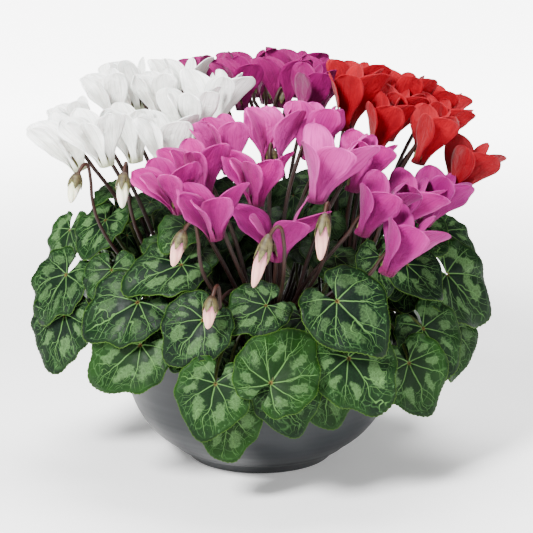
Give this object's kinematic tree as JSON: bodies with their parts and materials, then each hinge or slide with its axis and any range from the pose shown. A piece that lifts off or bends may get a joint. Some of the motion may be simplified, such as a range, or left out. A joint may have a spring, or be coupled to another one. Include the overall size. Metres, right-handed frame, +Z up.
{
  "type": "potted cyclamen",
  "caption": "A round moulded bowl planted with cyclamens in white, purple, red and pink, with heart-shaped leaves spilling over the rim and swept-back blooms on hooked stalks.",
  "frame": {"origin": "centre of the bowl's flat foot, on the surface that it stands on", "axes": "+Z up, +X to the right of the display side, -Y out of the display side, where the pink plant is"},
  "size_m": [0.369, 0.3521, 0.3159],
  "materials": {
    "pot": "satin",
    "soil": "matte",
    "leaf": "satin",
    "stalk": "satin",
    "white_petal": "satin",
    "purple_petal": "satin",
    "red_petal": "satin",
    "pink_petal": "satin"
  },
  "bodies": {
    "root": {"bowl": "pot", "soil": "soil", "white_leaves": "leaf", "purple_leaves": "leaf", "red_leaves": "leaf", "pink_leaves": "leaf", "white_bloom_1": "white_petal", "white_bloom_2": "white_petal", "white_bloom_3": "white_petal", "white_bloom_4": "white_petal", "white_bloom_5": "white_petal", "white_bloom_6": "white_petal", "white_bloom_7": "white_petal", "white_bloom_8": "white_petal", "white_bloom_9": "white_petal", "white_bloom_10": "white_petal", "white_bloom_11": "white_petal", "purple_bloom_1": "purple_petal", "purple_bloom_2": "purple_petal", "purple_bloom_3": "purple_petal", "purple_bloom_4": "purple_petal", "purple_bloom_5": "purple_petal", "purple_bloom_6": "purple_petal", "purple_bloom_7": "purple_petal", "purple_bloom_8": "purple_petal", "red_bloom_1": "red_petal", "red_bloom_2": "red_petal", "red_bloom_3": "red_petal", "red_bloom_4": "red_petal", "red_bloom_5": "red_petal", "red_bloom_6": "red_petal", "red_bloom_7": "red_petal", "red_bloom_8": "red_petal", "red_bloom_9": "red_petal", "pink_bloom_1": "pink_petal", "pink_bloom_2": "pink_petal", "pink_bloom_3": "pink_petal", "pink_bloom_4": "pink_petal", "pink_bloom_5": "pink_petal", "pink_bloom_6": "pink_petal", "pink_bloom_7": "pink_petal", "pink_bloom_8": "pink_petal", "pink_bloom_9": "pink_petal", "pink_bloom_10": "pink_petal", "pink_bloom_11": "pink_petal", "pink_bloom_12": "pink_petal", "pink_bloom_13": "pink_petal", "pink_bloom_14": "pink_petal", "white_stalks": "stalk", "purple_stalks": "stalk", "red_stalks": "stalk", "pink_stalks": "stalk"}
  },
  "joints": []
}
